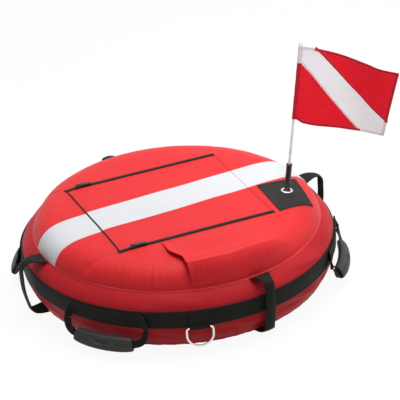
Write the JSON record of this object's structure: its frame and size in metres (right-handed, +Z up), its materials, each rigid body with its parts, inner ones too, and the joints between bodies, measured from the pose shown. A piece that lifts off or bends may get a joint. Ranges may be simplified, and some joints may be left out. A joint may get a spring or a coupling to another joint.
{
  "type": "freediving buoy",
  "caption": "Round freediving buoy: red nylon cover over an inflated ring, white stripe, zipped top, handles, straps and a diver-down flag on a pole.",
  "frame": {"origin": "middle of the flat underside", "axes": "+Z up through the top; +X along the white stripe, towards the side where the flag stands"},
  "size_m": [0.8145, 0.7626, 0.5402],
  "materials": {
    "side_fabric": "coated nylon cloth, darker red side",
    "top_fabric": "coated nylon cloth, red",
    "stripe_fabric": "coated nylon cloth, white",
    "piping": "cloth piping, red",
    "black_webbing": "woven polyester webbing, black",
    "black_fabric": "woven cloth and zip tape, black",
    "slider_metal": "black lacquered zip slider",
    "grip_moulding": "moulded plastic, dark grey",
    "steel": "stainless steel",
    "socket_rubber": "rubber tube, black",
    "tube_rubber": "inner tube rubber, black",
    "pole_fibreglass": "fibreglass rod, pale",
    "flag_red": "flag nylon, red",
    "flag_white": "flag nylon, white"
  },
  "bodies": {
    "buoy": {"bottom_panel": "side_fabric", "lower_side_band": "side_fabric", "upper_side_band": "side_fabric", "top_panel": "top_fabric", "access_flap": "top_fabric", "side_pocket": "top_fabric", "stripe_left": "stripe_fabric", "stripe_flap": "stripe_fabric", "stripe_right": "stripe_fabric", "top_piping": "piping", "base_piping": "piping", "belt_webbing": "black_webbing", "flap_binding": "black_webbing", "right_strap": "black_webbing", "back_strap": "black_webbing", "left_strap": "black_webbing", "front_strap": "black_webbing", "front_left_handle_webbing": "black_webbing", "front_right_handle_webbing": "black_webbing", "back_right_handle_webbing": "black_webbing", "back_left_handle_webbing": "black_webbing", "front_d_ring_keeper": "black_webbing", "back_d_ring_keeper": "black_webbing", "front_zip": "black_fabric", "back_zip": "black_fabric", "flag_patch": "black_fabric", "front_left_handle_grip": "grip_moulding", "front_right_handle_grip": "grip_moulding", "back_right_handle_grip": "grip_moulding", "back_left_handle_grip": "grip_moulding", "patch_grommet": "steel", "ring_valve": "steel", "pole_socket": "socket_rubber", "inflated_ring": "tube_rubber", "valve_cap": "tube_rubber", "flag_pole": "pole_fibreglass", "pole_cap": "pole_fibreglass", "flag_red_upper": "flag_red", "flag_red_lower": "flag_red", "flag_sleeve": "flag_red", "flag_white_band": "flag_white"},
    "front_slider": {"front_zip_slider": "slider_metal"},
    "front_pull": {"front_zip_pull": "black_fabric"},
    "back_slider": {"back_zip_slider": "slider_metal"},
    "back_pull": {"back_zip_pull": "black_fabric"},
    "front_ring": {"front_d_ring": "steel"},
    "back_ring": {"back_d_ring": "steel"}
  },
  "joints": [
    {"name": "front_zip_slide", "type": "slide", "parent": "buoy", "child": "front_slider", "axis": [0.9968, -0.0794, 0], "range_m": [0, 0.3272]},
    {"name": "front_pull_swing", "type": "hinge", "parent": "front_slider", "child": "front_pull", "pos_m": [-0.18309, -0.15422, 0.19199], "axis": [-0.0794, -0.9968, 0], "range_deg": [0, 150]},
    {"name": "back_zip_slide", "type": "slide", "parent": "buoy", "child": "back_slider", "axis": [0.9972, -0.0751, 0], "range_m": [0, 0.3351]},
    {"name": "back_pull_swing", "type": "hinge", "parent": "back_slider", "child": "back_pull", "pos_m": [-0.16608, 0.1759, 0.19199], "axis": [-0.0751, -0.9972, 0], "range_deg": [0, 150]},
    {"name": "front_ring_swing", "type": "hinge", "parent": "buoy", "child": "front_ring", "pos_m": [-0.12552, -0.34487, 0.064], "axis": [-0.9397, 0.342, 0], "range_deg": [-12, 170]},
    {"name": "back_ring_swing", "type": "hinge", "parent": "buoy", "child": "back_ring", "pos_m": [0.12552, 0.34487, 0.064], "axis": [0.9397, -0.342, 0], "range_deg": [-12, 170]}
  ]
}
